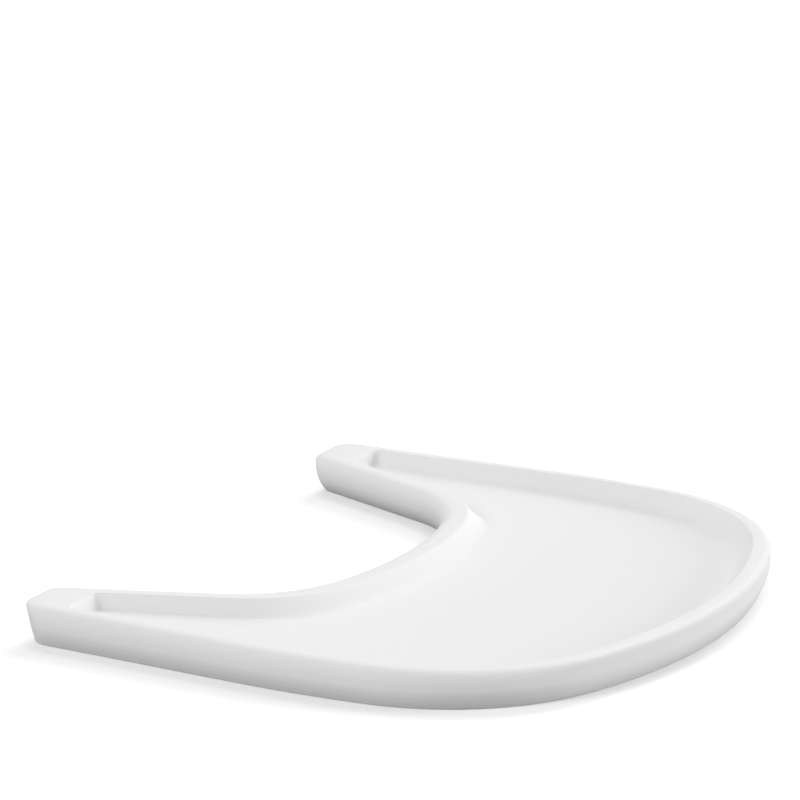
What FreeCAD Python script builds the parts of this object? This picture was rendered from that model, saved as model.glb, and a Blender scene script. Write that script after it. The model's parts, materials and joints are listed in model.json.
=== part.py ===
"""Serving tray of a baby high chair, with the two spring latches under its arm pads.

+X runs across the tray, +Y towards the child and the arm tips, +Z up. The origin is the middle of the
footprint, on the surface that the tray lies on. Right is +X. All sizes are in millimetres.
"""
import FreeCAD, Part
import math
import os

from FreeCAD import Vector

# ---- tray outline, seen from above
WIDTH = 490.0             # across the outer lips
DEPTH = 434.0             # front apex to arm tips
FRONT_R = 382.0           # long arc of the front edge
CORNER_R = 156.0          # front corners
SIDE_R = 696.0            # slight bulge of the sides
WIDEST_BACK = 203.0       # arm tips to where the sides are widest
ARM_TAPER = 2.1           # degrees that the arms close towards their tips
TIP_OUTER_R = 21.0        # arm tip, outer corner
TIP_INNER_R = 10.5        # arm tip, corner beside the child

# ---- waist notch
NOTCH_DEPTH = 176.0       # arm tips to the apex of the notch
ARM_TIP = 62.0            # width of each arm where it meets the line of the tips
NOTCH_FLARE = 21.0        # degrees that each flank leans out from Y
NOTCH_APEX_R = 315.0
NOTCH_CORNER_R = 91.0

# ---- moulded section
HEIGHT = 28.0             # crest of the rim
LIP_Z = 14.0              # widest level of the outer wall
NOTCH_LIP_Z = 17.0        # widest level of the notch wall
TIP_LIP_Z = 25.0          # widest level of the arm tips
WALL = 2.6
RIM_UNDERCUT = 6.0        # the outer wall runs in below its lip
NOTCH_UNDERCUT = 9.5
TIP_UNDERCUT = 6.7
RIM_HOLLOW = 1.5          # above 1 the wall curves in towards its foot, below 1 just under its lip
TIP_HOLLOW = 0.7
FRONT_ROLL = 4.5          # round over the top of the rim
SIDE_ROLL = 10.0
NOTCH_ROLL = 10.0
TIP_ROLL = 3.0
WALL_KNEE = 0.45          # share of the lip's height at which the wall below it bends
OUTER_STEPS = 4           # bands round the outer roll
BASIN_STEPS = 5           # bands down the basin's wall
INNER_STEPS = 1           # bands of the hidden roll inside
UNDER_STEPS = 2           # bands of the hidden side of the basin's wall
BASIN_FLOOR = 12.5        # top of the basin floor, at the front
BASIN_SLOPE = 0.7         # degrees that the floor rises towards the arm tips
BASIN_RIM_TOP = 12.0      # lip to the top of the basin wall, at the front and the sides
BASIN_RIM_FOOT = 31.0     # lip to the foot of the basin wall
BASIN_NOTCH_TOP = 11.5    # notch edge to the top of the basin wall
BASIN_NOTCH_FOOT = 21.5   # notch edge to the foot of the basin wall, at the arm pads
BASIN_APEX_FOOT = 37.0    # notch edge to the foot of the roll, at the apex
BASIN_FLANK_LEAN = 1.5    # degrees by which the foot of the roll draws away from the notch
PAD_LENGTH = 33.0         # arm pad, tip to the top of the basin's end wall
BASIN_END_RUN = 7.5       # run of the basin's end wall
BASIN_CORNER_R = 5.5      # corners of the basin's end wall
BRIM_EASE = (0.1, 0.1, 0.5, 0.5, 0.1)      # softness of the wall's brim: front, side, flank, apex, end
FOOT_EASE = (0.6, 0.6, 0.15, 0.45, 0.2)    # softness of its foot
ROLL_GROWTH = 0.58        # sideways share of the wall that keeps the roll as thick as the floor

# ---- ribs, bosses and buffers under the shell
RIB = 1.8
RIB_Z = 5.0               # lower edge of the ribs
RIB_PITCH = 98.0
RIB_MARGIN = 50.0         # outermost rib, in from the lip
RIB_END = 38.0            # the ribs stop short of the finger tabs
BOSS_R = 4.2
BUFFER_X = 60.0           # middle of each soft block under the notch roll
BUFFER_LENGTH = 26.0
BUFFER_WIDTH = 6.0
BUFFER_INSET = 15.0       # middle of the block, in from the notch edge
BUFFER_Z = 3.5            # face that meets the seat's lip
BUFFER_TOP_Z = 14.0
BUFFER_POCKET = 2.0       # wall of the pocket that holds the block
BUFFER_POCKET_Z = 7.5

# ---- armrest tube of the chair and its saddle
TUBE_R = 8.0
TUBE_FIT = 0.1
TUBE_INSET = 42.0         # axis of the tube, in from the widest part of the tray
TUBE_Z = 13.4
MOUTH_CLEAR = 0.9         # gap round the tube in the tip wall
HOUSING_FIT = 0.25        # housing to shell wall
HOUSING_Z = 6.6           # underside of the housing
HOUSING_LENGTH = 22.3
HOUSING_DRAFT = (5.0, 5.0, 8.0, 8.0, 6.0)  # front, side, flank, apex and end, in from the shell's inner wall
HOUSING_OUT = 16.0        # housing, pivot axis to its outer side
HOUSING_IN = 7.0          # housing, tube to its inner side
SADDLE_WALL = 2.4         # saddle, channel to its outer side above the flange
BLIND_WALL = 2.2          # closes the saddle's inner end, behind the end stop
MOUTH_CHAMFER = 1.4
STOP_T = 1.6
STOP_SIDE = 10.0

# ---- screws that hold each housing
SCREW_OFFSETS = [(9.5, 1.5), (4.5, 11.5)]  # from the pivot axis
SCREW_R = 1.6
SCREW_CLEAR = 0.3
SCREW_HEAD_R = 3.3
SCREW_HEAD_H = 2.2
SCREW_SEAT_Z = 10.0
SCREW_BOSS_Z = 15.0       # top of the housing's flange, where the shell's bosses end
SCREW_TOP_Z = 22.0

# ---- latch lever and its pivot
PIVOT_OUT = 14.0          # pivot axis, out from the tube's axis
POCKET_WALL = 1.5         # spring pocket to the end of the housing
PIN_R = 2.5
PIN_RUN = 0.05            # running clearance of the lever on its pin
PIN_HEAD_R = 3.4
PIN_HEAD_H = 2.0
LEVER_Z = 1.6
LEVER_TOP_Z = 6.2
LEVER_HUB_R = 7.2
SWING = 24.0              # degrees, closed to open
NOSE_FROM = 7.0           # released nose, nearer end from the pivot
NOSE_TO = 12.5            # released nose, far end from the pivot
NOSE_TOP_Z = 4.6
NOSE_CLEAR = 0.6          # released nose to the tube
TAB_REACH = 44.0          # pivot to the end of the finger tab
TAB_IN = 7.0              # finger tab, in from the pivot
TAB_T = 3.4
TAB_TOP_Z = 8.2
TAB_LENGTH = 26.0
TAB_SAG = 2.4             # hollow of the finger tab
GRIP_T = 1.2
GRIP_SHARE = 0.88         # length of the pad against the tab
GRIP_EDGE = 0.8
STOP_RIB_GAP = 1.2        # open lever to the stop rib
STOP_RIB_DROP = 2.5       # the stop rib hangs below the other ribs
NOSE_TIP = 4.0            # rounding off of the nose's far end
NOSE_RAMP = 6.0           # run of the ramp under the nose
NOSE_EDGE = 1.0           # thickness of the nose at the ramp's edge

# ---- spring, washer and ring on the pin
SPRING_WIRE = 1.0
SPRING_R = 4.0            # mean radius of the coil
SPRING_TURNS = 3.0
COIL_STEPS = 8            # facets per turn of the coil
WIRE_SIDES = 6            # facets round its wire
SPRING_PITCH = 1.3
SPRING_LEG = 2.5          # fixed leg, beyond the pocket
SPRING_CATCH = 2.2        # foot of the spring in the lever
SPRING_GAP = 0.25
SPRING_POCKET_R = 5.2
WASHER_R = 5.0
WASHER_T = 0.5
HUB_RECESS_R = 5.8
HUB_Z = 3.6               # bottom of the lever's hub
HUB_GAP = 0.1             # hub to washer
PIN_END = 0.4             # pin beyond the ring
RING_R = 4.3
RING_T = 0.7
RING_GROOVE = 0.5

# ---- worked out from the sizes above
UP = Vector(0, 0, 1)
PAST = 1.0                # how far a cut runs past the face that it opens
TOP_Z = HEIGHT - WALL     # inner roof of the rim and the arm pads
FRONT_Y = -DEPTH / 2
TIP_Y = DEPTH / 2
WIDEST_Y = TIP_Y - WIDEST_BACK
NOTCH_Y = TIP_Y - NOTCH_DEPTH
NOTCH_MOUTH = WIDTH - 2 * ARM_TIP
HOUSING_START = TIP_Y - PAD_LENGTH + WALL * ROLL_GROWTH + HOUSING_FIT
HOUSING_END = HOUSING_START + HOUSING_LENGTH
STOP_Y = HOUSING_START + BLIND_WALL
SADDLE_START = STOP_Y + STOP_T
TUBE_X = WIDTH / 2 - TUBE_INSET
PIVOT_X = TUBE_X + PIVOT_OUT
PIVOT_Y = HOUSING_START + POCKET_WALL + SPRING_POCKET_R
RIB_END_Y = PIVOT_Y - TAB_REACH - RIB_END
SPRING_ROOM = SPRING_TURNS * SPRING_PITCH + SPRING_WIRE + 2 * SPRING_GAP


# ---- plan geometry
def direction(degrees):
    angle = math.radians(degrees)
    return Vector(math.cos(angle), math.sin(angle), 0)


def meet_circles(a, ra, b, rb):
    """The lower of the two points at distance ra from a and rb from b."""
    span = b - a
    along = (ra ** 2 - rb ** 2 + span.Length ** 2) / (2 * span.Length)
    across = math.sqrt(ra ** 2 - along ** 2)
    step = Vector(-span.y, span.x, 0).normalize() * across
    middle = a + Vector(span).normalize() * along
    return min(middle + step, middle - step, key=lambda point: point.y)


def meet_lines(a, along_a, b, along_b):
    cross = along_a.x * along_b.y - along_a.y * along_b.x
    reach = ((b.x - a.x) * along_b.y - (b.y - a.y) * along_b.x) / cross
    return a + along_a * reach


def arc_about(centre, start, end):
    """Points of the short arc from start to end about centre."""
    radius = (start - centre).Length
    middle = (start + end) * 0.5 - centre
    return [start, centre + middle.normalize() * radius, end]


def round_corner(corner, before, after, radius):
    """Points of the arc that rounds a corner between unit directions before and after."""
    turn = math.acos(max(-1.0, min(1.0, before.dot(after))))
    run = radius * math.tan(turn / 2)
    start, end = corner - before * run, corner + after * run
    centre = corner + (after - before).normalize() * (radius / math.cos(turn / 2))
    return arc_about(centre, start, end)


def notch_flank(inset, lean):
    """A point of the right notch flank and its direction, away from the apex."""
    flare = NOTCH_FLARE - lean
    along = direction(90 - flare)
    inward = Vector(along.y, -along.x, 0)
    return Vector(NOTCH_MOUTH / 2, TIP_Y, 0) + inward * inset, along, inward


def half_plan(rim, side_rim, flank, apex, end, tip_r, lean=0.0):
    """Right half of a plan curve, front apex to notch apex, as runs of two or three points.

    The first five are insets: from the lip at the front and at the sides, the notch flank, its apex and
    the arm tip. tip_r are the radii of the arm tip's outer and inner corner, and lean is the degrees by
    which the flank draws away from its own lip.
    """
    front = Vector(0, FRONT_Y + FRONT_R, 0)
    side = Vector(WIDTH / 2 - SIDE_R, WIDEST_Y, 0)
    front_r, side_r = FRONT_R - rim, SIDE_R - side_rim
    corner_r = CORNER_R - (rim + side_rim) / 2
    corner = meet_circles(front, front_r - corner_r, side, side_r - corner_r)
    front_end = corner + (corner - front).normalize() * corner_r
    side_start = corner + (corner - side).normalize() * corner_r
    side_end = side + direction(ARM_TAPER) * side_r
    side_along = direction(90 + ARM_TAPER)

    on_flank, flank_along, inward = notch_flank(flank, lean)
    apex_r, bend_r = NOTCH_APEX_R + apex, NOTCH_CORNER_R + flank
    apex_centre = Vector(0, NOTCH_Y + NOTCH_APEX_R, 0)
    from_flank = on_flank - inward * bend_r - apex_centre
    reach = -from_flank.dot(flank_along)
    reach -= math.sqrt(reach ** 2 - from_flank.dot(from_flank) + (apex_r - bend_r) ** 2)
    bend = apex_centre + from_flank + flank_along * reach
    flank_start = bend + inward * bend_r
    apex_start = apex_centre + (bend - apex_centre).normalize() * apex_r

    tip, left = Vector(0, TIP_Y - end, 0), Vector(-1, 0, 0)
    outer = round_corner(meet_lines(side_end, side_along, tip, left), side_along, left, tip_r[0])
    inner = round_corner(meet_lines(on_flank, flank_along, tip, left), left, flank_along * -1, tip_r[1])
    return [arc_about(corner, front_end, side_start), arc_about(side, side_start, side_end),
            [side_end, outer[0]], outer, [outer[2], inner[0]], inner, [inner[2], flank_start],
            arc_about(bend, flank_start, apex_start)]


def plan_wire(z, *insets):
    """The closed, mirrored plan curve at height z."""
    half = half_plan(*insets)
    left = [[Vector(-p.x, p.y, 0) for p in reversed(run)] for run in reversed(half)]
    rim, apex = insets[0], insets[3]
    front = [left[-1][-1], Vector(0, FRONT_Y + rim, 0), half[0][0]]
    back = [half[-1][-1], Vector(0, NOTCH_Y - apex, 0), left[0][0]]
    edges = []
    for run in [front] + half + [back] + left:
        points = [Vector(p.x, p.y, z) for p in run]
        curve = Part.Arc(*points) if len(points) == 3 else Part.LineSegment(*points)
        edges.append(curve.toShape())
    return Part.Wire(edges)


# ---- small solids
def cylinder(x, y, z, radius, height):
    return Part.makeCylinder(radius, height, Vector(x, y, z))


def block(x0, x1, y0, y1, z0, z1):
    return Part.makeBox(x1 - x0, y1 - y0, z1 - z0, Vector(x0, y0, z0))


def mirrored(shape):
    return shape.mirror(Vector(0, 0, 0), Vector(1, 0, 0))


def both_sides(shapes):
    return shapes + [mirrored(s) for s in shapes]


def plate(points, z0, z1):
    """An upright prism on the corner points."""
    ring = [Vector(x, y, z0) for x, y in points]
    return Part.Face(Part.makePolygon(ring + ring[:1])).extrude(UP * (z1 - z0))


# ---- tray shell
def roll_inset(radius, below):
    """How far a quarter-round has run in, at a depth below its top."""
    return radius - math.sqrt(radius ** 2 - (radius - below) ** 2) if below < radius else 0.0


def wall_wire(z, skin, top):
    """The tray's outer side at height z, drawn in by skin: in below each lip, and rolled in to the top."""
    def inset(lip_z, undercut, hollow, roll):
        return undercut * max(0.0, 1 - z / lip_z) ** hollow + skin + roll_inset(roll - skin, top - z)
    front, side = [inset(LIP_Z, RIM_UNDERCUT, RIM_HOLLOW, roll) for roll in (FRONT_ROLL, SIDE_ROLL)]
    notch = inset(NOTCH_LIP_Z, NOTCH_UNDERCUT, 1.0, NOTCH_ROLL)
    tip = inset(TIP_LIP_Z, TIP_UNDERCUT, TIP_HOLLOW, TIP_ROLL)
    return plan_wire(z, front, side, notch, notch, tip, (TIP_OUTER_R - side, TIP_INNER_R - skin))


def slab(skin, top, roll_steps, knees=()):
    """The tray as a full body, drawn in by skin.

    knees are the shares of the lip's height at which the wall below it bends.
    """
    levels = [LIP_Z * share for share in (0.0, *knees, 1.0)]
    roll = SIDE_ROLL - skin
    for step in range(roll_steps + 1):
        levels.append(top - roll * (1 - math.sin(math.pi / 2 * step / roll_steps)))
    return Part.makeLoft([wall_wire(z, skin, top) for z in levels], True, True)


def basin(skin, steps):
    """The hollow of the basin, grown by skin for the underside of its walls.

    Its wall is an S, level at the brim and at the floor, and each side of the basin has its own slope.
    """
    grow = skin * ROLL_GROWTH
    brim = (BASIN_RIM_TOP, BASIN_RIM_TOP, BASIN_NOTCH_TOP, BASIN_NOTCH_TOP, PAD_LENGTH)
    foot = (BASIN_RIM_FOOT, BASIN_RIM_FOOT, BASIN_NOTCH_FOOT, BASIN_APEX_FOOT, PAD_LENGTH + BASIN_END_RUN)
    corner = BASIN_CORNER_R + grow
    wires = []
    for step in range(steps + 1):
        t = step / steps
        runs = [3 * t * (1 - t) ** 2 * first + 3 * t ** 2 * (1 - t) * (1 - last) + t ** 3
                for first, last in zip(BRIM_EASE, FOOT_EASE)]
        fall = (HEIGHT - BASIN_FLOOR) * (3 * t ** 2 - 2 * t ** 3)
        insets = [a + (b - a) * run - grow for a, b, run in zip(brim, foot, runs)]
        lean = BASIN_FLANK_LEAN * runs[3]
        wires.append(plan_wire(HEIGHT - fall - skin, *insets, (corner, corner), lean))
    solid = Part.makeLoft(wires, True, True)
    solid.rotate(Vector(0, FRONT_Y, HEIGHT), Vector(1, 0, 0), BASIN_SLOPE)
    return solid


def ribs(inside):
    """Ribs under the basin, carried up into the hollow rim as gussets."""
    reach = max(WIDTH, DEPTH)
    count = int((WIDTH / 2 - RIB_MARGIN) // RIB_PITCH)
    plates = [block(i * RIB_PITCH - RIB / 2, i * RIB_PITCH + RIB / 2, -reach, RIB_END_Y, RIB_Z, HEIGHT)
              for i in range(-count, count + 1)]
    y = FRONT_Y + RIB_PITCH
    while y < RIB_END_Y:
        plates.append(block(-reach, reach, y - RIB / 2, y + RIB / 2, RIB_Z, HEIGHT))
        y += RIB_PITCH
    plates += both_sides([stop_rib()])
    return [plate.common(inside) for plate in plates]


def stop_rib():
    """Upright rib that the finger tab meets just past its open position."""
    swing = math.radians(SWING)
    tab_x = -TAB_IN - TAB_SAG - TAB_T
    x = PIVOT_X + tab_x * math.cos(swing) - TAB_REACH * math.sin(swing) - STOP_RIB_GAP
    y = PIVOT_Y - (TAB_REACH - TAB_LENGTH / 2) * math.cos(swing)
    return block(x - RIB, x, y - TAB_LENGTH / 2, y + TAB_LENGTH / 2, RIB_Z - STOP_RIB_DROP, HEIGHT)


def screw_places():
    return [(PIVOT_X + dx, PIVOT_Y + dy) for dx, dy in SCREW_OFFSETS]


def buffer_block(grow, z0, z1):
    """Block of the notch buffer, turned along the notch edge, grown on its four sides."""
    turn = math.asin(BUFFER_X / NOTCH_APEX_R)
    reach = NOTCH_APEX_R + BUFFER_INSET
    half_x, half_y = BUFFER_LENGTH / 2 + grow, BUFFER_WIDTH / 2 + grow
    solid = block(-half_x, half_x, -half_y, half_y, z0, z1)
    solid.rotate(Vector(0, 0, 0), UP, math.degrees(turn))
    solid.translate(Vector(reach * math.sin(turn), NOTCH_Y + NOTCH_APEX_R - reach * math.cos(turn), 0))
    return solid


def tube_passage(radius, y0, y1):
    """Room for the armrest tube: round above its axis, open straight down."""
    tube = Part.makeCylinder(radius, y1 - y0, Vector(TUBE_X, y0, TUBE_Z), Vector(0, 1, 0))
    return tube.fuse(block(TUBE_X - radius, TUBE_X + radius, y0, y1, -PAST, TUBE_Z))


def tray_shell():
    inside = slab(WALL, TOP_Z, INNER_STEPS).cut(basin(WALL, UNDER_STEPS))
    shell = slab(0.0, HEIGHT, OUTER_STEPS, [WALL_KNEE]).cut(basin(0.0, BASIN_STEPS)).cut(inside)
    screw_bosses = [cylinder(x, y, SCREW_BOSS_Z, BOSS_R, HEIGHT) for x, y in screw_places()]
    pocket = buffer_block(BUFFER_POCKET, BUFFER_POCKET_Z, HEIGHT)
    bosses = [boss.common(inside) for boss in both_sides(screw_bosses + [pocket])]
    shell = shell.fuse(ribs(inside) + bosses)
    holes = [cylinder(x, y, 0, SCREW_R, SCREW_TOP_Z) for x, y in screw_places()]
    holes.append(buffer_block(0, 0, BUFFER_TOP_Z))
    mouth = tube_passage(TUBE_R + MOUTH_CLEAR, HOUSING_START, TIP_Y + WALL)
    shell = shell.cut(both_sides(holes + [mouth])).removeSplitter()
    return shell.Solids[0]


def notch_buffer():
    """Soft block pressed into its pocket under the notch roll."""
    return buffer_block(0, BUFFER_Z, BUFFER_TOP_Z)


# ---- latch, right side
def latch_housing():
    """Saddle on the armrest tube, and beside it a flange with the pivot's pocket and the screw seats."""
    skin = WALL + HOUSING_FIT
    insets = [skin + draft for draft in HOUSING_DRAFT]
    outline = plan_wire(HOUSING_Z, *insets, (TIP_OUTER_R - insets[1], TIP_INNER_R - skin))
    room = Part.Face(outline).extrude(UP * (TOP_Z - HOUSING_Z))
    saddle_r = TUBE_R + TUBE_FIT
    saddle = block(TUBE_X - TUBE_R - HOUSING_IN, TUBE_X + saddle_r + SADDLE_WALL, HOUSING_START, HOUSING_END,
                   HOUSING_Z, TOP_Z)
    flange = block(TUBE_X, PIVOT_X + HOUSING_OUT, HOUSING_START, HOUSING_END, HOUSING_Z, SCREW_BOSS_Z)
    body = saddle.fuse(flange).common(room)
    channel = tube_passage(saddle_r, SADDLE_START, TIP_Y)
    lead_in = plate_y([(TUBE_X - saddle_r - MOUTH_CHAMFER, HOUSING_Z),
                       (TUBE_X, HOUSING_Z + saddle_r + MOUTH_CHAMFER),
                       (TUBE_X + saddle_r + MOUTH_CHAMFER, HOUSING_Z)], SADDLE_START, TIP_Y)
    spring_pocket = cylinder(PIVOT_X, PIVOT_Y, HOUSING_Z, SPRING_POCKET_R, SPRING_ROOM)
    bore = cylinder(PIVOT_X, PIVOT_Y, HOUSING_Z, PIN_R, HEIGHT)
    hollows = [channel, lead_in, end_stop(), spring_pocket, bore, spring_leg_slot()]
    for x, y in screw_places():
        hollows.append(cylinder(x, y, HOUSING_Z, SCREW_R + SCREW_CLEAR, HEIGHT))
        hollows.append(cylinder(x, y, 0, SCREW_HEAD_R + SCREW_CLEAR, SCREW_SEAT_Z))
    return body.cut(hollows).removeSplitter().Solids[0]


def plate_y(points, y0, y1):
    """A prism along Y on corner points given as (x, z)."""
    ring = [Vector(x, y0, z) for x, z in points]
    return Part.Face(Part.makePolygon(ring + ring[:1])).extrude(Vector(0, y1 - y0, 0))


def spring_leg_slot():
    """Radial slot in the pocket wall for the spring's fixed leg."""
    z = coil_top()
    half = SPRING_WIRE / 2 + SPRING_GAP
    return block(PIVOT_X, PIVOT_X + SPRING_POCKET_R + SPRING_LEG, PIVOT_Y - SPRING_R - half,
                 PIVOT_Y - SPRING_R + half, HOUSING_Z, z + half)


def coil_bottom():
    return HOUSING_Z + SPRING_GAP + SPRING_WIRE / 2


def coil_top():
    return coil_bottom() + SPRING_TURNS * SPRING_PITCH


def latch_spring():
    """Torsion spring: an upright foot in the lever, the coil, and a straight leg in the housing."""
    z0, z1 = coil_bottom(), coil_top()
    steps = int(SPRING_TURNS * COIL_STEPS)
    turns = [coil_section(-90 + 360 * SPRING_TURNS * i / steps, z0 + (z1 - z0) * i / steps)
             for i in range(steps + 1)]
    coil = Part.makeLoft(turns, True, True)
    leg = Part.Face(turns[-1]).extrude(Vector(SPRING_POCKET_R + SPRING_LEG - SPRING_GAP, 0, 0))
    corners = [direction(360 * i / WIRE_SIDES) * (SPRING_WIRE / 2) for i in range(WIRE_SIDES)]
    outline = [(PIVOT_X + c.x, PIVOT_Y - SPRING_R + c.y) for c in corners]
    foot = plate(outline, LEVER_TOP_Z - SPRING_CATCH, z0)
    return coil.fuse([foot, leg]).Solids[0]


def coil_section(degrees, z):
    """The wire's section, as a polygon, at one place round the coil."""
    out = direction(degrees)
    centre = Vector(PIVOT_X, PIVOT_Y, z) + out * SPRING_R
    ring = []
    for i in range(WIRE_SIDES):
        angle = 2 * math.pi * (i + 0.5) / WIRE_SIDES
        ring.append(centre + (out * math.cos(angle) + UP * math.sin(angle)) * (SPRING_WIRE / 2))
    return Part.makePolygon(ring + ring[:1])


def pivot_pin():
    _, ring_z = stack_levels()
    pin = cylinder(PIVOT_X, PIVOT_Y, ring_z - PIN_END, PIN_R, SCREW_BOSS_Z - ring_z + PIN_END)
    head = cylinder(PIVOT_X, PIVOT_Y, SCREW_BOSS_Z, PIN_HEAD_R, PIN_HEAD_H)
    groove = cylinder(PIVOT_X, PIVOT_Y, ring_z, PIN_R, RING_T)
    groove = groove.cut(cylinder(PIVOT_X, PIVOT_Y, ring_z, PIN_R - RING_GROOVE, RING_T))
    return pin.fuse(head).cut(groove).removeSplitter()


def stack_levels():
    """Lower faces of the thrust washer and of the retaining ring."""
    washer_z = HUB_Z - HUB_GAP - WASHER_T
    return washer_z, washer_z - RING_T


def thrust_washer():
    z, _ = stack_levels()
    disc, bore = [cylinder(PIVOT_X, PIVOT_Y, z, radius, WASHER_T) for radius in (WASHER_R, PIN_R)]
    return disc.cut(bore)


def retaining_ring():
    """Open ring snapped into the pin's groove from the side."""
    _, z = stack_levels()
    ring = cylinder(PIVOT_X, PIVOT_Y, z, RING_R, RING_T)
    bore = cylinder(PIVOT_X, PIVOT_Y, z, PIN_R - RING_GROOVE, RING_T)
    half = PIN_R - RING_GROOVE
    gap = block(PIVOT_X, PIVOT_X + RING_R, PIVOT_Y - half, PIVOT_Y + half, z, z + RING_T)
    return ring.cut([bore, gap])


def sector(centre, inner, outer, half_angle, z0, z1):
    """A curved bar about centre, facing -X, between two radii."""
    wedge = Part.makeCylinder(outer, z1 - z0, Vector(centre.x, centre.y, z0), UP, 2 * half_angle)
    wedge = wedge.cut(cylinder(centre.x, centre.y, z0, inner, z1 - z0))
    wedge.rotate(centre, UP, 180 - half_angle)
    return wedge


def tab_arc():
    """Centre, radius and half angle of the finger tab's hollow face."""
    half = TAB_LENGTH / 2
    radius = (half ** 2 + TAB_SAG ** 2) / (2 * TAB_SAG)
    centre = Vector(PIVOT_X - TAB_IN - TAB_SAG + radius, PIVOT_Y - TAB_REACH + half, 0)
    return centre, radius, math.degrees(math.asin(half / radius))


def latch_lever():
    """Flat lever: a hooked nose under the tube, a hub on the pin and a hollowed finger tab."""
    pivot = Vector(PIVOT_X, PIVOT_Y, 0)
    edge = TUBE_X + TUBE_R + NOSE_CLEAR
    nose = plate([(edge, PIVOT_Y + NOSE_FROM), (edge, PIVOT_Y + NOSE_TO),
                  (edge + NOSE_TIP, PIVOT_Y + NOSE_TO + NOSE_TIP / 2),
                  (PIVOT_X + NOSE_TIP, PIVOT_Y + NOSE_FROM + NOSE_TIP), (PIVOT_X + LEVER_HUB_R, PIVOT_Y),
                  (PIVOT_X - LEVER_HUB_R, PIVOT_Y)], LEVER_Z, LEVER_TOP_Z)
    ramp = plate_y([(edge - PAST, LEVER_Z - PAST), (edge - PAST, NOSE_TOP_Z - NOSE_EDGE),
                    (edge, NOSE_TOP_Z - NOSE_EDGE), (edge + NOSE_RAMP, LEVER_Z),
                    (edge + NOSE_RAMP, LEVER_Z - PAST)], PIVOT_Y + NOSE_FROM, PIVOT_Y + NOSE_TO + NOSE_TIP)
    nose = nose.cut(ramp)
    nose.rotate(pivot, UP, SWING)
    under_tube = block(TUBE_X - TUBE_R, TUBE_X + TUBE_R + NOSE_CLEAR, PIVOT_Y, TIP_Y, NOSE_TOP_Z, HEIGHT)
    nose = nose.cut(under_tube)

    centre, radius, half_angle = tab_arc()
    tab = sector(centre, radius, radius + TAB_T, half_angle, LEVER_Z, TAB_TOP_Z)
    near_y = PIVOT_Y - TAB_REACH + TAB_LENGTH
    arm = plate([(PIVOT_X - LEVER_HUB_R, PIVOT_Y), (PIVOT_X + LEVER_HUB_R, PIVOT_Y),
                 (PIVOT_X - TAB_IN, near_y - TAB_T), (PIVOT_X - TAB_IN - TAB_T, near_y - TAB_T)],
                LEVER_Z, LEVER_TOP_Z)
    hub = cylinder(PIVOT_X, PIVOT_Y, LEVER_Z, LEVER_HUB_R, LEVER_TOP_Z - LEVER_Z)
    bore = cylinder(PIVOT_X, PIVOT_Y, 0, PIN_R + PIN_RUN, HEIGHT)
    recess = cylinder(PIVOT_X, PIVOT_Y, 0, HUB_RECESS_R, HUB_Z)
    catch = cylinder(PIVOT_X, PIVOT_Y - SPRING_R, HUB_Z, SPRING_WIRE / 2 + SPRING_GAP, HEIGHT)
    over_tab = sector(centre, radius - TAB_REACH / 2, radius, half_angle, 0, HEIGHT)
    return nose.fuse([arm.cut(over_tab), tab, hub]).cut([bore, recess, catch]).removeSplitter().Solids[0]


def grip_pad():
    """Soft lining of the finger tab's hollow face."""
    centre, radius, half_angle = tab_arc()
    z0, z1 = LEVER_Z + GRIP_EDGE, TAB_TOP_Z - GRIP_EDGE
    return sector(centre, radius - GRIP_T, radius, half_angle * GRIP_SHARE, z0, z1)


def end_stop():
    """Square soft pad, let in flush at the closed end of the saddle."""
    half = STOP_SIDE / 2
    return block(TUBE_X - half, TUBE_X + half, STOP_Y, SADDLE_START, TUBE_Z - half, TUBE_Z + half)


def housing_screws():
    screws = []
    for x, y in screw_places():
        head = cylinder(x, y, SCREW_SEAT_Z - SCREW_HEAD_H, SCREW_HEAD_R, SCREW_HEAD_H)
        shank = cylinder(x, y, SCREW_SEAT_Z, SCREW_R, SCREW_TOP_Z - SCREW_SEAT_Z)
        screws.append(head.fuse(shank).removeSplitter())
    return screws


SIDED = {"latch_housing": latch_housing, "latch_lever": latch_lever, "grip_pad": grip_pad,
         "latch_spring": latch_spring, "end_stop": end_stop, "notch_buffer": notch_buffer}


def main():
    os.makedirs("parts", exist_ok=True)
    nodes = {"tray_shell": tray_shell()}
    for name, make in SIDED.items():
        right = make()
        nodes[name + "_right"] = right
        nodes[name + "_left"] = mirrored(right)
    fasteners = {"pivot_pins": [pivot_pin()], "thrust_washers": [thrust_washer()],
                 "retaining_rings": [retaining_ring()], "housing_screws": housing_screws()}
    for name, shapes in fasteners.items():
        nodes[name] = Part.makeCompound(both_sides(shapes))
    for name, shape in nodes.items():
        shape.exportStep("parts/" + name + ".step")


if __name__ == "__main__":
    main()
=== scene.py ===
"""Looks of a high-chair tray: its moulded shell, its latches' finishes, the studio and the camera.

Metres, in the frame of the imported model: +X across the tray, +Y to the arm tips, +Z up.
"""
import json
import math

import bpy
from mathutils import Matrix, Vector


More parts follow.
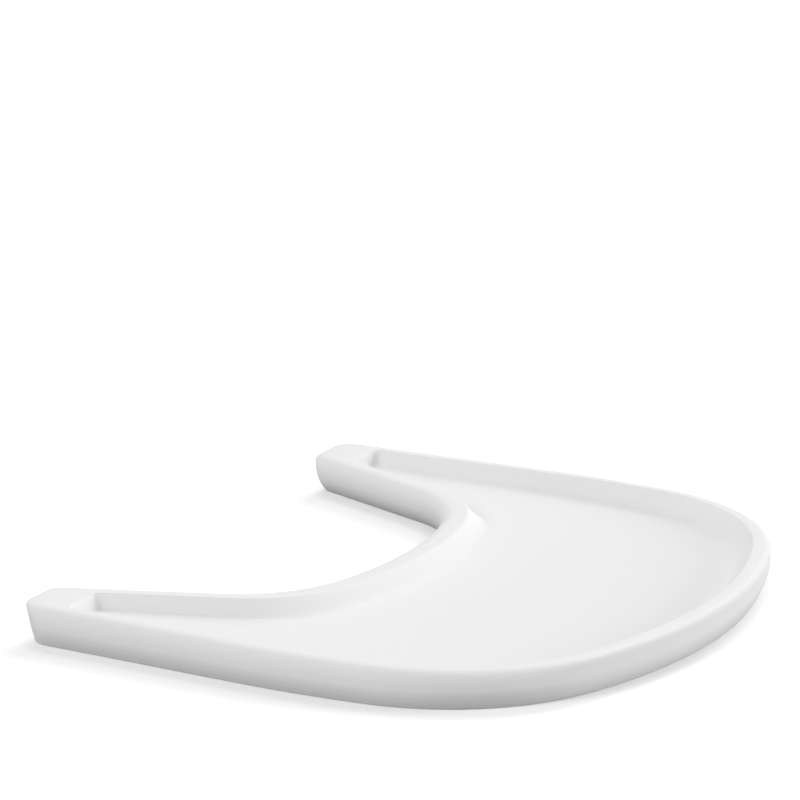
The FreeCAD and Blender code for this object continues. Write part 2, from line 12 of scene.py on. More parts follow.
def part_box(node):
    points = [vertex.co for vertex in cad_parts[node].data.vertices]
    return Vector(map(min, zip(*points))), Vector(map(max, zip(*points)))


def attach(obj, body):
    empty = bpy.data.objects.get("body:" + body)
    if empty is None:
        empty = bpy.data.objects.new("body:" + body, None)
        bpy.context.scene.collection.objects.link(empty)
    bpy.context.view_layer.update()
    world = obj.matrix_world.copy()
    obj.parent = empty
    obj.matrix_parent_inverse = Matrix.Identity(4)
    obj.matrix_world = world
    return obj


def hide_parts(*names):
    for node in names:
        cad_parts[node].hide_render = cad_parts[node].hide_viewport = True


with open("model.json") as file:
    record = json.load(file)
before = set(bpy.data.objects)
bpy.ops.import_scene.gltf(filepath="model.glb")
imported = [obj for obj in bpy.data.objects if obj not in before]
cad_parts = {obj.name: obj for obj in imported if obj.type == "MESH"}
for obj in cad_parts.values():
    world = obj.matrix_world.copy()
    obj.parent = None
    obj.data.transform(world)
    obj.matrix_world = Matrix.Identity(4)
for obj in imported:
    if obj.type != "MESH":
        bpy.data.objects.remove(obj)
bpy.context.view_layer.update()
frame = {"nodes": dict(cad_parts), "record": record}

# ---- tray outline, seen from above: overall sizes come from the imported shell
low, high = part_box("tray_shell")
FRONT_Y, TIP_Y = low.y, high.y
HALF_WIDTH = high.x
HEIGHT = high.z
FRONT_R = 0.382
CORNER_R = 0.156
SIDE_R = 0.696
WIDEST_Y = TIP_Y - 0.203
ARM_TAPER = math.radians(2.1)
TIP_OUTER_R = 0.021
TIP_INNER_R = 0.0105
NOTCH_Y = TIP_Y - 0.176
NOTCH_HALF_MOUTH = HALF_WIDTH - 0.062
NOTCH_FLARE = math.radians(21.0)
NOTCH_APEX_R = 0.315
NOTCH_CORNER_R = 0.091

# ---- moulded section, at the front, the sides, the notch's flanks, its apex and the arm tips
LIP_Z = (0.014, 0.014, 0.017, 0.017, 0.025)              # widest level of the outer wall
UNDERCUT = (0.006, 0.006, 0.0095, 0.0095, 0.0067)        # the wall runs in below its lip
HOLLOW = (1.5, 1.5, 2.0, 2.0, 0.7)                       # above 1 it curves in towards its foot
ROLL = (0.0045, 0.010, 0.010, 0.010, 0.003)              # round over the top of the rim
BRIM = (0.012, 0.012, 0.0115, 0.0115, 0.033)             # top of the basin's wall
FOOT = (0.031, 0.031, 0.0215, 0.037, 0.0405)             # its foot
BRIM_EASE = (0.1, 0.1, 0.5, 0.5, 0.1)                    # softness of the brim
FOOT_EASE = (0.6, 0.6, 0.15, 0.45, 0.2)                  # softness of the foot
WALL_LEVELS = (0.002, 0.0045, 0.007, 0.0095, 0.012, 0.014, 0.0155, 0.017)
FOOT_EDGE = 0.0009                                       # height of the rounding of the lower edge
FOOT_ROUND = (0.3, 0.7)                                  # its reach into the wall, outside and inside
WALL = 0.0026
ROLL_GROWTH = 0.58                                       # sideways share of the wall
BASIN_FLOOR = 0.0125
BASIN_SLOPE = math.radians(0.7)                          # the floor rises towards the tips
FLANK_LEAN = math.radians(1.5)
BEND_TIGHTER = 0.030                                     # the wall's foot turns in late past the flank
BASIN_CORNER_R = 0.0055
BRIM_EDGE = 0.0012                                       # rounding where the wall meets the top

# ---- under the shell
RIB = 0.0018                                             # thickness
RIB_Z = 0.005
RIB_PITCH = 0.098
RIB_COUNT = 1                                            # ribs each side of the middle one
RIB_END = 0.038
STOP_RIB_Z = 0.0025
STOP_RIB_LENGTH = 0.026
BOSS_R = 0.0042
BOSS_Z = 0.015
BUFFER_X = 0.060
BUFFER_SIZE = (0.026, 0.006)
BUFFER_INSET = 0.015
BUFFER_TOP_Z = 0.014
BUFFER_POCKET = 0.002
BUFFER_POCKET_Z = 0.0075
TUBE_X = HALF_WIDTH - 0.042
TUBE_Z = 0.0134
MOUTH_R = 0.0089
TAB_REACH = 0.044
STOP_RIB_IN = 0.0317                                     # pivot's axis to the stop rib
STOP_RIB_BACK = 0.0283
BITE = 0.0005                                            # how far ribs and bosses reach into the shell

# ---- screws, head down
SCREW_PLACES = ((0.0095, 0.0015), (0.0045, 0.0115))      # from the pivot's axis
SCREW_R = 0.0016
SCREW_TOP_Z = 0.022
SCREW_TIP_R = 0.0003
SCREW_SEAT_Z = 0.010
SCREW_HEAD_R = 0.0033
SCREW_HEAD_H = 0.0022
SCREW_DOME_H = 0.0011
SCREW_DOME_ANGLES = (0.1, 0.35, 0.6, 0.85, 1.1, 1.35)    # radians, from the middle out
SCREW_BAND = 0.0003                                      # from the dome to the head's full width
SCREW_EDGE = 0.0002
THREAD_START = 0.0004                                    # from the seat
THREAD_DEPTH = 0.0005
THREAD_PITCH = 0.0013
THREAD_END = 0.0016                                      # from the tip
RECESS_REACH = 0.0021                                    # cross recess: middle to the end of a slot
RECESS_HALF_WIDTH = 0.0005
RECESS_DEPTH = 0.0016
RECESS_START = 0.0005                                    # its cutter starts outside the head
RECESS_TAPER = 0.45                                      # floor of a slot, as a share of its mouth
RECESS_TURN = math.radians(20)

# ---- small radii of the other nodes, by kind
EDGE_WIDTHS = {"latch_housing": 0.0004, "latch_lever": 0.0005, "grip_pad": 0.0003, "end_stop": 0.0002,
               "notch_buffer": 0.0006, "pivot_pins": 0.0002, "thrust_washers": 0.00008,
               "retaining_rings": 0.0001}
EDGE_SEGMENTS = 2

hinge = next(j for j in frame["record"]["behaviour"]["joints"] if j["name"] == "latch_swing_right")
PIVOT = Vector(hinge["pos_m"])
HOUSING_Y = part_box("latch_housing_right")[0].y           # inner end of the housings

# ---- fineness: points along each run of the right half of the outline, front apex to notch apex
RUN_COUNTS = (26, 30, 12, 18, 12, 3, 12, 22, 30, 16)
FINE_STEPS = 60                                          # down the basin's wall, before it is cut level
BASIN_STEPS = 20                                         # down the cut wall
UNDER_STEPS = 10                                         # down its hidden side
ROLL_STEPS = 11
INNER_ROLL_STEPS = 6
EDGE_STEPS = 4
INNER_EDGE_STEPS = 3
ROD_SIDES = 32
SCREW_SIDES = 36
MOUTH_STEPS = 24
SHARP_ANGLE = math.radians(32)


# ---- plan geometry
def direction(angle):
    return Vector((math.cos(angle), math.sin(angle)))


def meet_circles(a, ra, b, rb):
    """The lower of the two points at distance ra from a and rb from b."""
    span = b - a
    along = (ra ** 2 - rb ** 2 + span.length_squared) / (2 * span.length)
    across = math.sqrt(ra ** 2 - along ** 2)
    unit = span.normalized()
    step = Vector((-unit.y, unit.x)) * across
    middle = a + unit * along
    return min(middle + step, middle - step, key=lambda point: point.y)


def meet_lines(a, along_a, b, along_b):
    cross = along_a.x * along_b.y - along_a.y * along_b.x
    reach = ((b.x - a.x) * along_b.y - (b.y - a.y) * along_b.x) / cross
    return a + along_a * reach


def line(start, end, count):
    """Points from start towards end, without the end."""
    return [start.lerp(end, i / count) for i in range(count)]


def arc(centre, start, end, count):
    """Points of the short arc from start towards end about centre, without the end."""
    first, last = start - centre, end - centre
    turn = math.atan2(first.x * last.y - first.y * last.x, first.dot(last))
    begin = math.atan2(first.y, first.x)
    return [centre + direction(begin + turn * i / count) * first.length for i in range(count)]


def round_corner(corner, before, after, radius):
    """Centre, start and end of the arc that rounds a corner between unit directions before and after."""
    turn = math.acos(max(-1.0, min(1.0, before.dot(after))))
    run = radius * math.tan(turn / 2)
    centre = corner + (after - before).normalized() * (radius / math.cos(turn / 2))
    return centre, corner - before * run, corner + after * run


def plan_loop(rim, side_rim, flank, apex, end, tip_r, lean=0.0, tighter=0.0):
    """Closed plan curve from five insets: front and side lip, the notch's flank and apex, and the tip.

    lean turns the flanks out from the notch, and tighter shortens the radius of the bends beside them.
    """
    front = Vector((0, FRONT_Y + FRONT_R))
    side = Vector((HALF_WIDTH - SIDE_R, WIDEST_Y))
    front_r, side_r = FRONT_R - rim, SIDE_R - side_rim
    corner_r = CORNER_R - (rim + side_rim) / 2
    corner = meet_circles(front, front_r - corner_r, side, side_r - corner_r)
    front_end = corner + (corner - front).normalized() * corner_r
    side_start = corner + (corner - side).normalized() * corner_r
    side_end = side + direction(ARM_TAPER) * side_r
    side_along = direction(math.pi / 2 + ARM_TAPER)

    flank_along = direction(math.pi / 2 - NOTCH_FLARE + lean)
    inward = Vector((flank_along.y, -flank_along.x))
    on_flank = Vector((NOTCH_HALF_MOUTH, TIP_Y)) + inward * flank
    apex_r, bend_r = NOTCH_APEX_R + apex, NOTCH_CORNER_R + flank - tighter
    apex_centre = Vector((0, NOTCH_Y + NOTCH_APEX_R))
    # the bend's centre lies beside the flank, where its arc also touches the apex's arc
    from_flank = on_flank - inward * bend_r - apex_centre
    reach = -from_flank.dot(flank_along)
    reach -= math.sqrt(reach ** 2 - from_flank.length_squared + (apex_r - bend_r) ** 2)
    bend = apex_centre + from_flank + flank_along * reach
    flank_start = bend + inward * bend_r
    apex_start = apex_centre + (bend - apex_centre).normalized() * apex_r

    tip, left = Vector((0, TIP_Y - end)), Vector((-1, 0))
    outer_r, inner_r = tip_r
    outer = round_corner(meet_lines(side_end, side_along, tip, left), side_along, left, outer_r)
    inner = round_corner(meet_lines(on_flank, flank_along, tip, left), left, -flank_along, inner_r)
    counts = iter(RUN_COUNTS)
    half = arc(front, Vector((0, FRONT_Y + rim)), front_end, next(counts))
    half += arc(corner, front_end, side_start, next(counts))
    half += arc(side, side_start, side_end, next(counts))
    half += line(side_end, outer[1], next(counts))
    half += arc(*outer, next(counts))
    half += line(outer[2], inner[1], next(counts))
    half += arc(*inner, next(counts))
    half += line(inner[2], flank_start, next(counts))
    half += arc(bend, flank_start, apex_start, next(counts))
    half += arc(apex_centre, apex_start, Vector((0, NOTCH_Y - apex)), next(counts))
    half.append(Vector((0, NOTCH_Y - apex)))
    return half + [Vector((-p.x, p.y)) for p in reversed(half[1:-1])]


# ---- section of the shell, as levels: a height and five insets
def roll_inset(radius, below):
    """How far a quarter-round has run in, at a depth below its top."""
    return radius - math.sqrt(radius ** 2 - (radius - below) ** 2) if below < radius else 0.0


def wall_level(z, skin):
    """The outer side at height z, drawn in by skin: in below each lip, and rolled in to the top."""
    top = HEIGHT - skin
    insets = [undercut * max(0.0, 1 - z / lip) ** hollow + skin + roll_inset(roll - skin, top - z)
              for lip, undercut, hollow, roll in zip(LIP_Z, UNDERCUT, HOLLOW, ROLL)]
    return Vector((z, *insets))


def roll_heights(skin, steps):
    """Heights up the roll, closer together towards the top."""
    radius = max(ROLL) - skin
    return [HEIGHT - skin - radius * (1 - math.sin(math.pi / 2 * i / steps)) for i in range(steps + 1)]


def rounded(before, corner, after, steps):
    """Levels of a rounded edge between two levels."""
    shares = [i / steps for i in range(steps + 1)]
    return [before * (1 - t) ** 2 + corner * (2 * t * (1 - t)) + after * t ** 2 for t in shares]


def level_loop(level, skin=0.0):
    z, *insets = level
    corners = (TIP_OUTER_R - insets[1], TIP_INNER_R - skin)
    return [Vector((p.x, p.y, z)) for p in plan_loop(*insets, corners)]


def cut_level(column, top, steps):
    """A line of points down the wall, from where it passes the height top, in even steps."""
    first = next(i for i, p in enumerate(column) if p.z < top)
    over, under = column[first - 1], column[first]
    share = (over.z - top) / (over.z - under.z)
    points = []
    for step in range(steps + 1):
        at = first - 1 + share + (len(column) - first - share) * step / steps
        low_end = min(int(at), len(column) - 2)
        points.append(column[low_end].lerp(column[low_end + 1], at - low_end))
    return points


def basin_loops(skin, steps):
    """Loops down the S-shaped wall of the sloping basin, grown by skin for its underside."""
    grow = skin * ROLL_GROWTH
    corner = BASIN_CORNER_R + grow
    axis, slope = Vector((0, FRONT_Y, HEIGHT)), Matrix.Rotation(BASIN_SLOPE, 3, "X")
    fine = []
    for step in range(FINE_STEPS + 1):
        t = step / FINE_STEPS
        fall = (HEIGHT - BASIN_FLOOR) * (3 * t ** 2 - 2 * t ** 3)
        runs = [3 * t * (1 - t) ** 2 * first + 3 * t ** 2 * (1 - t) * (1 - last) + t ** 3
                for first, last in zip(BRIM_EASE, FOOT_EASE)]
        insets = [a + (b - a) * run - grow for a, b, run in zip(BRIM, FOOT, runs)]
        loop = plan_loop(*insets, (corner, corner), FLANK_LEAN * runs[3], BEND_TIGHTER * runs[3])
        fine.append([axis + slope @ (Vector((p.x, p.y, HEIGHT - skin - fall)) - axis) for p in loop])
    columns = [cut_level(column, HEIGHT - skin, steps) for column in zip(*fine)]
    return [list(loop) for loop in zip(*columns)]


def eased_brim(rim, loops):
    """The basin's loops with a small rounding where they start from the flat top inside the rim."""
    edge = []
    for outer, corner, below in zip(rim, loops[0], loops[1]):
        flat, down = outer - corner, below - corner
        before = corner + flat.normalized() * min(BRIM_EDGE, flat.length / 2)
        after = corner + down.normalized() * min(BRIM_EDGE, down.length / 2)
        edge.append(rounded(before, corner, after, EDGE_STEPS))
    return [list(loop) for loop in zip(*edge)] + loops[1:]


# ---- meshes
def new_piece(name, vertices, faces):
    mesh = bpy.data.meshes.new(name)
    mesh.from_pydata(vertices, [], faces)
    mesh.validate()
    piece = bpy.data.objects.new(name, mesh)
    bpy.context.scene.collection.objects.link(piece)
    return piece


def lofted(name, loops):
    """Closed body through loops of equally many points, capped at both ends."""
    count = len(loops[0])
    vertices = [p for loop in loops for p in loop]
    faces = [tuple(reversed(range(count)))]
    for row in range(len(loops) - 1):
        for i in range(count):
            j = (i + 1) % count
            faces.append((row * count + i, row * count + j, (row + 1) * count + j, (row + 1) * count + i))
    faces.append(tuple(range((len(loops) - 1) * count, len(loops) * count)))
    return new_piece(name, vertices, faces)


def block(x0, x1, y0, y1, z0, z1):
    corners = [(x0, y0), (x1, y0), (x1, y1), (x0, y1)]
    return lofted("block", [[Vector((x, y, z)) for x, y in corners] for z in (z0, z1)])


def rod(x, y, z0, z1, radius):
    ring = [Vector((x, y)) + direction(math.tau * i / ROD_SIDES) * radius for i in range(ROD_SIDES)]
    return lofted("rod", [[Vector((p.x, p.y, z)) for p in ring] for z in (z0, z1)])


def combine(body, tool, operation):
    """Joins, cuts or intersects a body with another, which is used up."""
    step = body.modifiers.new("step", "BOOLEAN")
    step.operation, step.object, step.solver = operation, tool, "MANIFOLD"
    graph = bpy.context.evaluated_depsgraph_get()
    mesh = bpy.data.meshes.new_from_object(body.evaluated_get(graph))
    body.modifiers.clear()
    body.data = mesh
    bpy.data.objects.remove(tool)
    return body


def shell_skin():
    """The moulded shell as one closed skin, from the middle of its underside out and over to the basin."""
    inner_roll = roll_heights(WALL, INNER_ROLL_STEPS)[:-1]
    inner = [wall_level(z, WALL) for z in (FOOT_EDGE, *WALL_LEVELS[1:-1:2], *inner_roll)]
    outer_foot, inner_foot = wall_level(0, 0), wall_level(0, WALL)
    middle = (outer_foot + inner_foot) / 2
    outside, inside = FOOT_ROUND
    edge = rounded(inner[0], inner_foot, inner_foot.lerp(middle, inside), INNER_EDGE_STEPS)
    edge += rounded(outer_foot.lerp(middle, outside), outer_foot, wall_level(FOOT_EDGE, 0), EDGE_STEPS)
    inner_loops = [level_loop(v, WALL) for v in inner[:0:-1]]
    levels = edge + [wall_level(z, 0) for z in (*WALL_LEVELS, *roll_heights(0, ROLL_STEPS))]
    loops = basin_loops(WALL, UNDER_STEPS)[::-1] + inner_loops + [level_loop(v) for v in levels]
    return lofted("tray_shell_skin", loops + eased_brim(loops[-1], basin_loops(0, BASIN_STEPS)))


def hollow(skin):
    """The room under the shell, which all ribs and bosses are trimmed to."""
    levels = [wall_level(z, skin) for z in (*WALL_LEVELS, *roll_heights(skin, INNER_ROLL_STEPS)[:-1])]
    return lofted("hollow", [level_loop(v, skin) for v in levels] + basin_loops(skin, UNDER_STEPS))


def buffer_block(side, grow, z0, z1):
    """Block of a notch buffer, turned along the notch's edge."""
    turn = side * math.asin(BUFFER_X / NOTCH_APEX_R)
    centre = Vector((0, NOTCH_Y + NOTCH_APEX_R))
    centre -= direction(math.pi / 2 + turn) * (NOTCH_APEX_R + BUFFER_INSET)
    along, across = direction(turn), direction(turn + math.pi / 2)
    along, across = along * (BUFFER_SIZE[0] / 2 + grow), across * (BUFFER_SIZE[1] / 2 + grow)
    corners = [centre - along - across, centre + along - across, centre + along + across,
               centre - along + across]
    return lofted("buffer", [[Vector((p.x, p.y, z)) for p in corners] for z in (z0, z1)])


def ribs():
    """Grid of ribs, which stops short of the finger tabs."""
    reach, end = HALF_WIDTH, PIVOT.y - TAB_REACH - RIB_END
    plates = [block(i * RIB_PITCH - RIB / 2, i * RIB_PITCH + RIB / 2, -reach, end, RIB_Z, HEIGHT)
              for i in range(-RIB_COUNT, RIB_COUNT + 1)]
    y = FRONT_Y + RIB_PITCH
    while y < end:
        plates.append(block(-reach, reach, y - RIB / 2, y + RIB / 2, RIB_Z, HEIGHT))
        y += RIB_PITCH
    return plates


def fittings(side):
    """Under one arm and beside it: screw bosses, stop rib and buffer pocket."""
    solids = [rod(side * (PIVOT.x + x), PIVOT.y + y, BOSS_Z, HEIGHT, BOSS_R) for x, y in SCREW_PLACES]
    stop_x, stop_y = side * (PIVOT.x - STOP_RIB_IN), PIVOT.y - STOP_RIB_BACK
    solids.append(block(stop_x - RIB / 2, stop_x + RIB / 2, stop_y - STOP_RIB_LENGTH / 2,
                        stop_y + STOP_RIB_LENGTH / 2, STOP_RIB_Z, HEIGHT))
    return solids + [buffer_block(side, BUFFER_POCKET, BUFFER_POCKET_Z, HEIGHT)]


def armrest_mouth(side):
    """Way for the armrest's tube through the tip: round above its axis, open below."""
    half = MOUTH_STEPS // 2
    arch = [direction(math.pi * i / MOUTH_STEPS) * MOUTH_R for i in range(-half, half + 1)]
    ring = [(p.y, TUBE_Z + p.x) for p in arch] + [(MOUTH_R, -HEIGHT), (-MOUTH_R, -HEIGHT)]
    return lofted("mouth", [[Vector((side * TUBE_X + x, y, z)) for x, z in ring]
                            for y in (HOUSING_Y, 2 * TIP_Y)])


def openings(side):
    """Screw holes, the buffer's socket and the armrest's mouth."""
    holes = [rod(side * (PIVOT.x + x), PIVOT.y + y, 0, SCREW_TOP_Z, SCREW_R) for x, y in SCREW_PLACES]
    return holes + [buffer_block(side, 0, 0, BUFFER_TOP_Z), armrest_mouth(side)]


def tray_shell():
    rest = ribs() + fittings(1) + fittings(-1)
    inner = rest.pop()
    for solid in rest:
        combine(inner, solid, "UNION")
    combine(inner, hollow(WALL - BITE), "INTERSECT")
    shell = combine(shell_skin(), inner, "UNION")
    for hole in openings(1) + openings(-1):
        combine(shell, hole, "DIFFERENCE")
    shell.data.shade_smooth()
    shell.data.set_sharp_from_angle(angle=SHARP_ANGLE)
    return shell


# ---- latches and screws
def soften_edges(node, width):
    """The small radii of moulded or turned parts on a CAD node, shaded smoothly across its faces."""
    weld = node.modifiers.new("weld", "WELD")
    weld.merge_threshold = 0.00001
    flats = node.modifiers.new("flats", "DECIMATE")
    flats.decimate_type, flats.angle_limit = "DISSOLVE", math.radians(0.5)
    edge = node.modifiers.new("edge", "BEVEL")
    edge.width, edge.segments, edge.limit_method = width, EDGE_SEGMENTS, "ANGLE"
    edge.angle_limit = math.radians(30)
    node.modifiers.new("smooth", "WEIGHTED_NORMAL")


def turned(name, centre, profile):
    """A body of revolution about an upright axis, from radius and height pairs, bottom to top."""
    ring = [direction(math.tau * i / SCREW_SIDES) for i in range(SCREW_SIDES)]
    return lofted(name, [[Vector((centre.x + p.x * r, centre.y + p.y * r, z)) for p in ring]
                         for r, z in profile])


def recess_slot(centre, bottom, turn):
    """Cutter for one slot of the cross recess, narrower towards its floor."""
    along, across = direction(turn) * RECESS_REACH, direction(turn + math.pi / 2) * RECESS_HALF_WIDTH
    mouth = [centre + i * along + j * across for i, j in ((-1, -1), (1, -1), (1, 1), (-1, 1))]
    floor = [centre + (p - centre) * RECESS_TAPER for p in mouth]
    return lofted("slot", [[Vector((p.x, p.y, bottom - RECESS_START)) for p in mouth],
                           [Vector((p.x, p.y, bottom + RECESS_DEPTH)) for p in floor]])


def screw(centre):
    """Pan-head screw: a domed head with a cross recess, and a coarse thread."""
    bottom, root = SCREW_SEAT_Z - SCREW_HEAD_H, SCREW_R - THREAD_DEPTH
    rise = SCREW_DOME_H / (1 - math.cos(SCREW_DOME_ANGLES[-1]))
    profile = [(SCREW_HEAD_R * math.sin(a), bottom + rise * (1 - math.cos(a))) for a in SCREW_DOME_ANGLES]
    profile += [(SCREW_HEAD_R, bottom + SCREW_DOME_H + SCREW_BAND),
                (SCREW_HEAD_R, SCREW_SEAT_Z - SCREW_EDGE),
                (SCREW_HEAD_R - SCREW_EDGE, SCREW_SEAT_Z), (SCREW_R, SCREW_SEAT_Z)]
    z = SCREW_SEAT_Z + THREAD_START
    while z < SCREW_TOP_Z - THREAD_END:
        profile += [(root, z), (SCREW_R, z + THREAD_DEPTH), (root, z + 2 * THREAD_DEPTH)]
        z += THREAD_PITCH
    profile.append((SCREW_TIP_R, SCREW_TOP_Z))
    body = turned("screw", centre, profile)
    for turn in (RECESS_TURN, RECESS_TURN + math.pi / 2):
        combine(body, recess_slot(centre, bottom, turn), "DIFFERENCE")
    return body


def housing_screws():
    """The four screws as one piece."""
    centres = [Vector((side * (PIVOT.x + x), PIVOT.y + y)) for side in (1, -1) for x, y in SCREW_PLACES]
    screws = [screw(centre) for centre in centres]
    vertices, faces = [], []
    for body in screws:
        start = len(vertices)
        vertices += [v.co.copy() for v in body.data.vertices]
        faces += [[start + i for i in f.vertices] for f in body.data.polygons]
        bpy.data.objects.remove(body)
    piece = new_piece("pan_head_screws", vertices, faces)
    piece.data.shade_smooth()
    piece.data.set_sharp_from_angle(angle=SHARP_ANGLE)
    return piece


# ---- materials
def node_material(name):
    """A material with a Principled shader, and the pattern's coordinates in the part's own frame."""
    material = bpy.data.materials.new(name)
    material.use_nodes = True
    tree = material.node_tree
    return material, tree, tree.nodes["Principled BSDF"], tree.nodes.new("ShaderNodeTexCoord")


def noise(tree, coordinates, scale, detail=4.0, roughness=0.5):
    node = tree.nodes.new("ShaderNodeTexNoise")
    node.inputs["Scale"].default_value = scale
    node.inputs["Detail"].default_value = detail
    node.inputs["Roughness"].default_value = roughness
    tree.links.new(coordinates.outputs["Object"], node.inputs["Vector"])
    return node


def remap(tree, source, low_value, high_value, start=0.3, end=0.7):
    node = tree.nodes.new("ShaderNodeMapRange")
    node.inputs["From Min"].default_value = start
    node.inputs["From Max"].default_value = end
    node.inputs["To Min"].default_value = low_value
    node.inputs["To Max"].default_value = high_value
    tree.links.new(source, node.inputs["Value"])
    return node.outputs["Result"]


def blend_colours(tree, share, first, second):
    node = tree.nodes.new("ShaderNodeMix")
    node.data_type = "RGBA"
    node.inputs["A"].default_value = (*first, 1)
    node.inputs["B"].default_value = (*second, 1)
    tree.links.new(share, node.inputs["Factor"])
    return node.outputs["Result"]


def bump(tree, height, strength, distance, under=None):
    node = tree.nodes.new("ShaderNodeBump")
    node.inputs["Strength"].default_value = strength
    node.inputs["Distance"].default_value = distance
    tree.links.new(height, node.inputs["Height"])
    if under:
        tree.links.new(under, node.inputs["Normal"])
    return node.outputs["Normal"]


def moulded_plastic(name, colour, roughness, grain, grain_depth):
    """Moulded plastic: faint tone drift, satin that varies a little, and the fine grain of its mould."""
    material, tree, shader, place = node_material(name)
    drift = noise(tree, place, 14.0, 3.0)
    shader.inputs["IOR"].default_value = 1.49
    tree.links.new(blend_colours(tree, remap(tree, drift.outputs["Fac"], 0, 1), colour,
                                 [c * 0.965 for c in colour]), shader.inputs["Base Color"])
    satin = noise(tree, place, 160.0, 6.0, 0.6)
    tree.links.new(remap(tree, satin.outputs["Fac"], roughness - 0.04, roughness + 0.05),
                   shader.inputs["Roughness"])
    flow = noise(tree, place, 22.0, 2.0)
    pores = noise(tree, place, grain, 2.0)
    soft = bump(tree, flow.outputs["Fac"], 0.25, 0.0006)
    tree.links.new(bump(tree, pores.outputs["Fac"], 0.5, grain_depth, soft), shader.inputs["Normal"])
    return material


def brushed_steel(name, colour, roughness):
    material, tree, shader, place = node_material(name)
    shader.inputs["Metallic"].default_value = 1.0
    tone = noise(tree, place, 300.0, 5.0)
    tree.links.new(blend_colours(tree, remap(tree, tone.outputs["Fac"], 0, 1), colour,
                                 [c * 0.86 for c in colour]), shader.inputs["Base Color"])
    streaks = noise(tree, place, 900.0, 3.0)
    tree.links.new(remap(tree, streaks.outputs["Fac"], roughness - 0.06, roughness + 0.1),
                   shader.inputs["Roughness"])
    tree.links.new(bump(tree, streaks.outputs["Fac"], 0.3, 0.00002), shader.inputs["Normal"])
    return material


def soft_rubber(name, colour):
    material, tree, shader, place = node_material(name)
    tone = noise(tree, place, 60.0, 4.0)
    tree.links.new(blend_colours(tree, remap(tree, tone.outputs["Fac"], 0, 1), colour,
                                 [c * 0.85 for c in colour]), shader.inputs["Base Color"])
    shader.inputs["Sheen Weight"].default_value = 0.15
    fine = noise(tree, place, 1500.0, 2.0)
    tree.links.new(remap(tree, fine.outputs["Fac"], 0.62, 0.78), shader.inputs["Roughness"])
    tree.links.new(bump(tree, fine.outputs["Fac"], 0.5, 0.00005), shader.inputs["Normal"])
    return material


# ---- studio
def white_for_the_lens(tree):
    """1 for camera, glossy and transmission rays, which see the background, else 0."""
    path = tree.nodes.new("ShaderNodeLightPath")
    share = path.outputs["Is Camera Ray"]
    for name in ("Is Glossy Ray", "Is Transmission Ray"):
        add = tree.nodes.new("ShaderNodeMath")
        add.operation = "ADD"
        add.use_clamp = True
        tree.links.new(share, add.inputs[0])
        tree.links.new(path.outputs[name], add.inputs[1])
        share = add.outputs["Value"]
    return share


def studio_world():
    world = bpy.data.worlds.new("studio")
    world.use_nodes = True
    bpy.context.scene.world = world
    tree = world.node_tree
    fill = tree.nodes["Background"]
    fill.inputs["Color"].default_value = (1, 1, 1, 1)
    fill.inputs["Strength"].default_value = FILL_LEVEL
    white = tree.nodes.new("ShaderNodeBackground")
    white.inputs["Color"].default_value = (1, 1, 1, 1)
    mix = tree.nodes.new("ShaderNodeMixShader")
    tree.links.new(white_for_the_lens(tree), mix.inputs["Fac"])
    tree.links.new(fill.outputs["Background"], mix.inputs[1])
    tree.links.new(white.outputs["Background"], mix.inputs[2])
    tree.links.new(mix.outputs["Shader"], tree.nodes["World Output"].inputs["Surface"])


def studio_floor():
    half = FLOOR_SIZE / 2
    floor = new_piece("floor", [(-half, -half, 0), (half, -half, 0), (half, half, 0), (-half, half, 0)],
                      [(0, 1, 2, 3)])
    floor.location.z = low.z
    material, tree, shader, _ = node_material("floor_white")
    lens = white_for_the_lens(tree)
    tone = blend_colours(tree, lens, [FLOOR_TONE] * 3, [FLOOR_TONE_SEEN] * 3)
    tree.links.new(tone, shader.inputs["Base Color"])
    shader.inputs["Roughness"].default_value = 1.0
    shader.inputs["Specular IOR Level"].default_value = 0.0
    shader.inputs["Emission Color"].default_value = (1, 1, 1, 1)
    tree.links.new(remap(tree, lens, 0, FLOOR_GLOW, 0, 1), shader.inputs["Emission Strength"])
    floor.data.materials.append(material)


def soft_lamp(name, azimuth, elevation, strength):
    """A large far lamp, placed in degrees round from the front and degrees up."""
    lamp = bpy.data.lights.new(name, "SUN")
    lamp.energy, lamp.angle = strength, LAMP_SOFTNESS
    light = bpy.data.objects.new(name, lamp)
    bpy.context.scene.collection.objects.link(light)
    turn, rise = math.radians(azimuth), math.radians(elevation)
    back = Vector((math.sin(turn) * math.cos(rise), -math.cos(turn) * math.cos(rise), math.sin(rise)))
    light.rotation_euler = back.to_track_quat("Z", "Y").to_euler()


def studio_camera():
    lens = bpy.data.cameras.new("camera")
    lens.lens, lens.sensor_width = CAMERA_LENS, 36.0
    lens.clip_start, lens.clip_end = NEAREST, FURTHEST
    camera = bpy.data.objects.new("camera", lens)
    bpy.context.scene.collection.objects.link(camera)
    flat = math.cos(CAMERA_ELEVATION)
    back = Vector((math.sin(CAMERA_AZIMUTH) * flat, -math.cos(CAMERA_AZIMUTH) * flat,
                   math.sin(CAMERA_ELEVATION)))
    camera.location = CAMERA_TARGET + back * CAMERA_DISTANCE
    camera.rotation_euler = (math.pi / 2 - CAMERA_ELEVATION + CAMERA_TILT, 0, CAMERA_AZIMUTH)
    bpy.context.scene.camera = camera


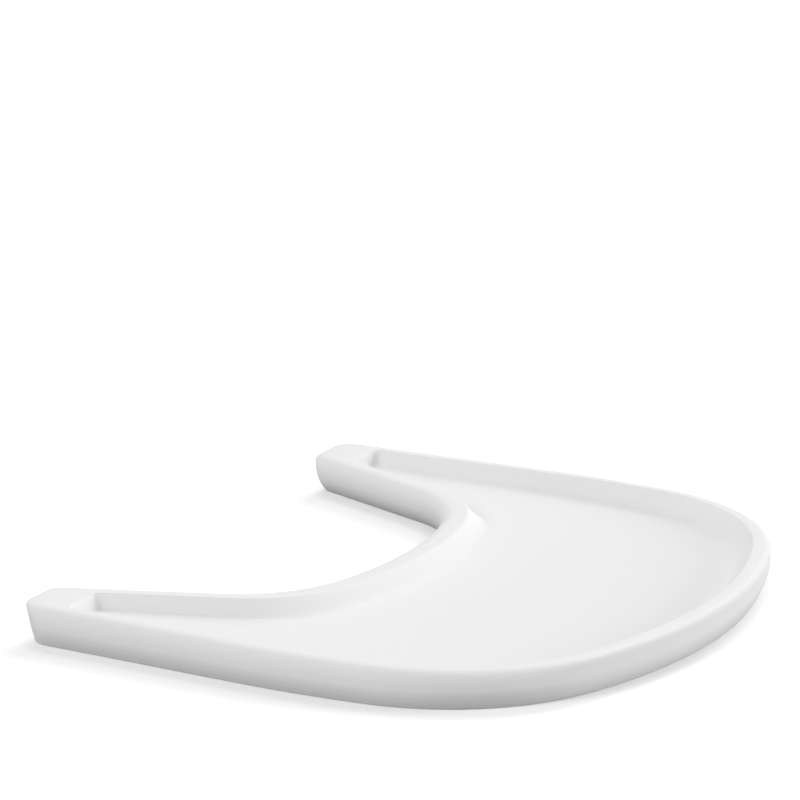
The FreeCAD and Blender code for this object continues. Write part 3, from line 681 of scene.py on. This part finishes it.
# ---- the shot
CAMERA_TARGET = Vector((0.0078, 0.0442, 0))
CAMERA_AZIMUTH = math.radians(-61.729)
CAMERA_ELEVATION = math.radians(17.826)
CAMERA_DISTANCE = 3.2086
CAMERA_LENS = 198.45
CAMERA_TILT = math.radians(2.387)           # raises the view, so that the tray sits low in the frame
NEAREST, FURTHEST = 0.05, 60.0

FILL_LEVEL = 0.3                            # light from all round
FLOOR_SIZE = 40.0
FLOOR_TONE = 0.45                           # what lights the tray from below
FLOOR_TONE_SEEN = 0.98                      # what the lens sees
FLOOR_GLOW = 0.13                           # brings the floor that the lens sees up to white
LAMP_SOFTNESS = math.radians(27)            # angle that each lamp fills
LAMPS = (("behind", 120, 60, 0.67), ("left", -120, 35, 1.32), ("front", 30, 12, 1.75),
         ("right", 90, 35, 1.13), ("lens_side", -60, 12, 0.44))

FINISHES = {
    "tray_white": moulded_plastic("tray_white", (0.86, 0.86, 0.85), 0.33, 900.0, 0.00004),
    "housing_grey": moulded_plastic("housing_grey", (0.57, 0.58, 0.60), 0.5, 1200.0, 0.00006),
    "lever_white": moulded_plastic("lever_white", (0.76, 0.76, 0.75), 0.42, 1200.0, 0.00005),
    "grip_grey": soft_rubber("grip_grey", (0.11, 0.12, 0.13)),
    "spring_steel": brushed_steel("spring_steel", (0.62, 0.62, 0.64), 0.25),
    "steel": brushed_steel("steel", (0.68, 0.69, 0.71), 0.32),
}

bpy.context.scene.view_settings.view_transform = "Standard"
studio_world()
studio_floor()
for lamp in LAMPS:
    soft_lamp(*lamp)
studio_camera()

for part in frame["record"]["subparts"]:
    node = frame["nodes"][part["node"]]
    node.data.materials.clear()
    node.data.materials.append(FINISHES[part["material_slot"]])
    kind = part["node"].removesuffix("_right").removesuffix("_left")
    if kind in EDGE_WIDTHS:
        soften_edges(node, EDGE_WIDTHS[kind])

for piece, node, finish in ((tray_shell(), "tray_shell", "tray_white"),
                            (housing_screws(), "housing_screws", "steel")):
    piece.data.materials.append(FINISHES[finish])
    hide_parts(node)
    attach(piece, "tray")
